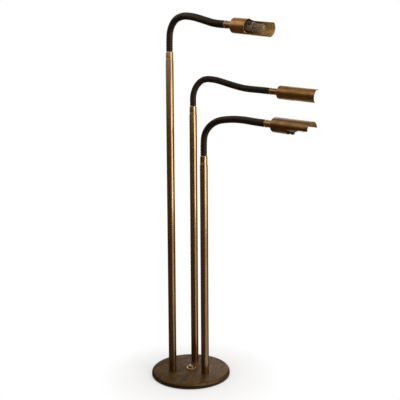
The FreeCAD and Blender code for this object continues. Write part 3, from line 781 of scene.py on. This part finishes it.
def area_light(name, place, target, width, height, power, colour):
    lamp = bpy.data.lights.new(name, "AREA")
    lamp.shape = "RECTANGLE"
    lamp.size = width
    lamp.size_y = height
    lamp.energy = power
    lamp.color = paint(colour)[:3]
    thing = bpy.data.objects.new(name, lamp)
    thing.location = place
    thing.rotation_euler = (Vector(target) - Vector(place)).to_track_quat("-Z", "Y").to_euler()
    bpy.context.scene.collection.objects.link(thing)
    return thing


def studio():
    """Floor, screens, three area lamps and the world; the top and fill lamps don't show in reflections."""
    floor = bmesh.new()
    bmesh.ops.create_circle(floor, cap_ends=True, segments=64, radius=9.0)
    stage_mesh("floor", floor, floor_material())
    reflection_paint = painted_reflection_cloth()
    low = [(SCREEN_NEAR, 0.003), (SCREEN_FAR, 0.004)]
    reflection_screen("screen_front_left", -178.0, 20.0, reflection_paint, low + [(SCREEN_FAR, 1.75)])
    reflection_screen("screen_right", 84.0, 150.0, reflection_paint, low + [(SCREEN_FAR, 3.0)])
    reflection_screen("screen_over", 0.0, 360.0, reflection_paint, [(0.02, 3.1), (1.5, 3.1)])
    area_light("key", (1.7, -1.35, 1.25), (0.0, 0.0, 0.75), 1.3, 1.9, 27.0, "FFFAF2")
    top = area_light("top", (0.2, -0.4, 2.6), (0.0, 0.0, 0.0), 1.2, 1.2, 9.0, "FFFFFF")
    top.visible_glossy = False
    fill = area_light("fill", (-1.5, -1.5, 1.3), (0.0, 0.0, 0.6), 0.5, 1.6, 5.0, "FFF9F2")
    fill.visible_glossy = False
    world = bpy.data.worlds.new("studio")
    bpy.context.scene.world = world
    world.use_nodes = True
    tree = world.node_tree
    tree.nodes.clear()
    path = add(tree, "ShaderNodeLightPath")
    clear = add(tree, "ShaderNodeMath", {
        0: path.outputs["Is Camera Ray"], 1: path.outputs["Is Glossy Ray"]}, operation="MAXIMUM")
    clear = add(tree, "ShaderNodeMath", {
        0: clear.outputs[0], 1: path.outputs["Is Transmission Ray"]}, operation="MAXIMUM")
    dim = add(tree, "ShaderNodeBackground", {"Color": paint("F4F1EC"), "Strength": 0.55})
    white = add(tree, "ShaderNodeBackground", {"Color": (1, 1, 1, 1), "Strength": 1.0})
    mix = add(tree, "ShaderNodeMixShader", {"Fac": clear.outputs[0]})
    tree.links.new(dim.outputs[0], mix.inputs[1])
    tree.links.new(white.outputs[0], mix.inputs[2])
    add(tree, "ShaderNodeOutputWorld", {"Surface": mix.outputs[0]})
    bpy.context.scene.view_settings.view_transform = "Standard"


def camera():
    pitch, yaw, roll = (math.radians(angle) for angle in (CAMERA_PITCH, CAMERA_YAW, CAMERA_ROLL))
    ahead = Vector((
        math.sin(yaw) * math.cos(pitch), math.cos(yaw) * math.cos(pitch), -math.sin(pitch)))
    right = Vector((math.cos(yaw), -math.sin(yaw), 0))
    upward = right.cross(ahead)
    across = right * math.cos(roll) + upward * math.sin(roll)
    over = upward * math.cos(roll) - right * math.sin(roll)
    matrix = Matrix((across, over, -ahead)).transposed().to_4x4()
    matrix.translation = Vector((0, -CAMERA_DISTANCE, CAMERA_HEIGHT)) * MM
    lens = bpy.data.cameras.new("camera")
    lens.sensor_width = SENSOR_WIDTH
    lens.lens = FOCAL_PIXELS * SENSOR_WIDTH / IMAGE_WIDTH
    lens.clip_start = 0.05
    thing = bpy.data.objects.new("camera", lens)
    thing.matrix_world = matrix
    bpy.context.scene.collection.objects.link(thing)
    bpy.context.scene.camera = thing


# ================================================================ making
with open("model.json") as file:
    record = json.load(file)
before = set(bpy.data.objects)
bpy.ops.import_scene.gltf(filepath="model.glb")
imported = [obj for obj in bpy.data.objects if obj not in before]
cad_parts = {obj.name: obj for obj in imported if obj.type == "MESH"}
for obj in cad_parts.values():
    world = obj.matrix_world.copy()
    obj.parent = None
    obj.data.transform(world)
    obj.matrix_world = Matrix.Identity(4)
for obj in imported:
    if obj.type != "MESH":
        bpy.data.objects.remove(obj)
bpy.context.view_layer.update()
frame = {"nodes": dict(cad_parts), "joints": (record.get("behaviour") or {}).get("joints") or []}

finishes = {
    "stem brass": aged_brass(
        "stem_tarnished_brass", [(0.0, "785B2C"), (0.45, "90713E"), (0.75, "A2824C"), (1.0, "B69966")],
        0.26, 26.0, painted_foot_shade=0.35, drawn=0.12),
    "ferrule brass": aged_brass(
        "ferrule_tarnished_brass", [(0.0, "7E5F2E"), (0.5, "9E7C42"), (1.0, "C4A062")], 0.24, 16.0),
    # Painted light and shade: one brass in three tones, the upper left shade lighter and the lower right
    # one darker.
    "left shade brass": aged_brass(
        "left_shade_brass_painted_lighter", [(0.0, "906838"), (0.45, "AC7E46"), (0.75, "BE8F54"), (1.0, "CEA268")],
        0.36, 26.0, lacquer=1.4),
    "rear shade brass": aged_brass(
        "rear_shade_brass_painted_middle", [(0.0, "7C5A2E"), (0.45, "96703C"), (0.75, "A88048"), (1.0, "BA9258")],
        0.36, 26.0, lacquer=1.4),
    "right shade brass": aged_brass(
        "right_shade_brass_painted_darker", [(0.0, "644A24"), (0.45, "7C5B2E"), (0.75, "8E6C38"), (1.0, "A08046")],
        0.36, 26.0, lacquer=1.4),
    "shade lining": lining_brass_painted_pale("dulled_raw_brass_painted_pale"),
    "collar brass": aged_brass(
        "collar_tarnished_brass", [(0.0, "745A30"), (0.5, "90723F"), (1.0, "AE8E56")], 0.30, 12.0,
        lacquer=1.5),
    "light brass": aged_brass(
        "rubbed_brass", [(0.0, "86673A"), (0.5, "A98A52"), (1.0, "C6A76C")], 0.27, 12.0),
    "bronze": patinated_bronze("browned_base_cover"),
    "sleeve": nylon_sleeve("black_nylon_sleeve"),
    "bakelite": bakelite("black_bakelite", "0E0A08", "1F1610"),
    "brown bakelite": bakelite("brown_bakelite", "57412F", "78604C"),
    "glass": blown_glass("blown_clear_glass"),
    "nickel": grained_metal("nickel_plated_brass", "9C968A", "C8C2B4", 0.30, 2.0),
    "filament": grained_metal("tungsten_wire", "4A4744", "7A756E", 0.45, 1.0),
    "iron": grained_metal("cast_iron", "26241F", "3B3833", 0.62, 1.5),
    "zinc": grained_metal("zinc_plated_steel", "7F8386", "A8ACAE", 0.34, 3.0),
    "felt": soft_stuff("black_felt", "0F0E0D", "221F1C", 1.2, 0.95),
    "rubber": soft_stuff("lead_rubber", "1D1916", "2B2622", 2.5, 0.6),
}

dress_nodes(finishes)
base(finishes)
for arm in ARMS:
    stems(arm, finishes)
    goosenecks(arm, finishes["sleeve"])
    heads(arm, finishes)
studio()
camera()
